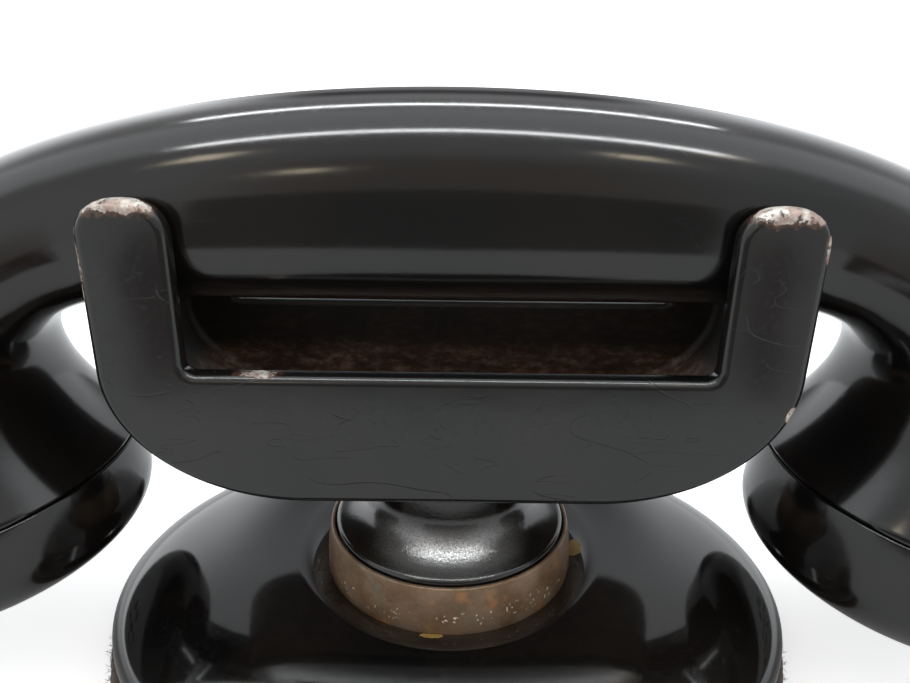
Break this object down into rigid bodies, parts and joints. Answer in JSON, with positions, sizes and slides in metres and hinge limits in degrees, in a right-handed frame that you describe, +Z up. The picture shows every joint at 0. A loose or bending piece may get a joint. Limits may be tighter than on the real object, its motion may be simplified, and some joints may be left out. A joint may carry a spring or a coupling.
{
  "type": "cradle telephone",
  "caption": "Black desk telephone with no dial: an arched handset on a pronged cradle that sinks as a hook switch, on a brass-collared oval domed base.",
  "frame": {"origin": "middle of the underside of the felt pad, on the table", "axes": "+X along the handset towards the transmitter, +Y towards the back where the cords enter, +Z up"},
  "size_m": [0.2272, 0.0984, 0.0978],
  "materials": {
    "black_moulding": "polished phenolic moulding, slightly worn",
    "black_enamel": "gloss black japan over metal, chipped at the edges",
    "aged_brass": "tarnished brass",
    "brass": "plain turned brass",
    "steel": "plain steel",
    "spring_metal": "rolled nickel silver",
    "felt": "worn brown felt",
    "phenolic": "brown pressed phenolic",
    "rubber": "black rubber",
    "copper_winding": "enamelled copper wire",
    "magnet_steel": "magnet steel",
    "cloth_lead": "cotton covered wire",
    "aluminium": "thin rolled sheet"
  },
  "bodies": {
    "base": {"felt_pad": "felt", "bottom_plate": "steel", "bottom_plate_screws": "steel", "base_shell": "black_enamel", "collar_ring": "aged_brass", "guide_bush": "brass", "return_spring": "steel", "switch_frame": "steel", "switch_frame_screws": "steel", "lever_pivot_pin": "steel", "stack_insulators": "phenolic", "fixed_leaf": "spring_metal", "fixed_contact": "spring_metal", "leaf_tail": "spring_metal", "stack_clamp": "steel", "stack_screws": "steel", "terminal_block": "phenolic", "terminal_screws": "brass", "terminal_block_screws": "steel", "line_cord_grommet": "rubber", "handset_cord_grommet": "rubber"},
    "cradle": {"cradle": "black_enamel", "stem": "black_enamel", "cradle_screws": "steel", "plunger_rod": "steel", "stop_washer": "steel", "stop_nut": "brass"},
    "switch_lever": {"switch_lever": "steel", "lever_stud": "phenolic"},
    "contact_leaf": {"moving_leaf": "spring_metal", "moving_contact": "spring_metal"},
    "handset": {"handset_body": "black_moulding", "handset_leads": "cloth_lead", "handset_cord_bush": "rubber", "receiver_cap": "black_moulding", "receiver_case": "brass", "receiver_case_screws": "steel", "receiver_magnet": "magnet_steel", "receiver_poles": "steel", "receiver_coils": "copper_winding", "receiver_diaphragm": "steel", "transmitter_cap": "black_moulding", "transmitter_case": "brass", "transmitter_case_screws": "steel", "carbon_chamber": "brass", "transmitter_diaphragm": "aluminium", "contact_springs": "spring_metal"}
  },
  "joints": [
    {"name": "cradle_travel", "type": "slide", "parent": "base", "child": "cradle", "axis": [0, 0, 1], "range_m": [0, 0.005], "stiffness_N_per_m": 120, "springref_m": 0.04, "deforming": ["return_spring"]},
    {"name": "lever_swing", "type": "hinge", "parent": "base", "child": "switch_lever", "pos_m": [-0.026, 0, 0.0087], "axis": [0, -1, 0], "range_deg": [0, 15]},
    {"name": "leaf_flex", "type": "hinge", "parent": "base", "child": "contact_leaf", "pos_m": [-0.036, 0.015, 0.0106], "axis": [1, 0, 0], "range_deg": [0, 10.5]},
    {"name": "handset_lift", "type": "slide", "parent": "cradle", "child": "handset", "axis": [0, 0, 1], "range_m": [0, 0.12]}
  ],
  "couplings": [
    {"joint": "lever_swing", "follows": "cradle_travel", "rad_per_m": 51.28},
    {"joint": "leaf_flex", "follows": "cradle_travel", "rad_per_m": 34.9}
  ]
}
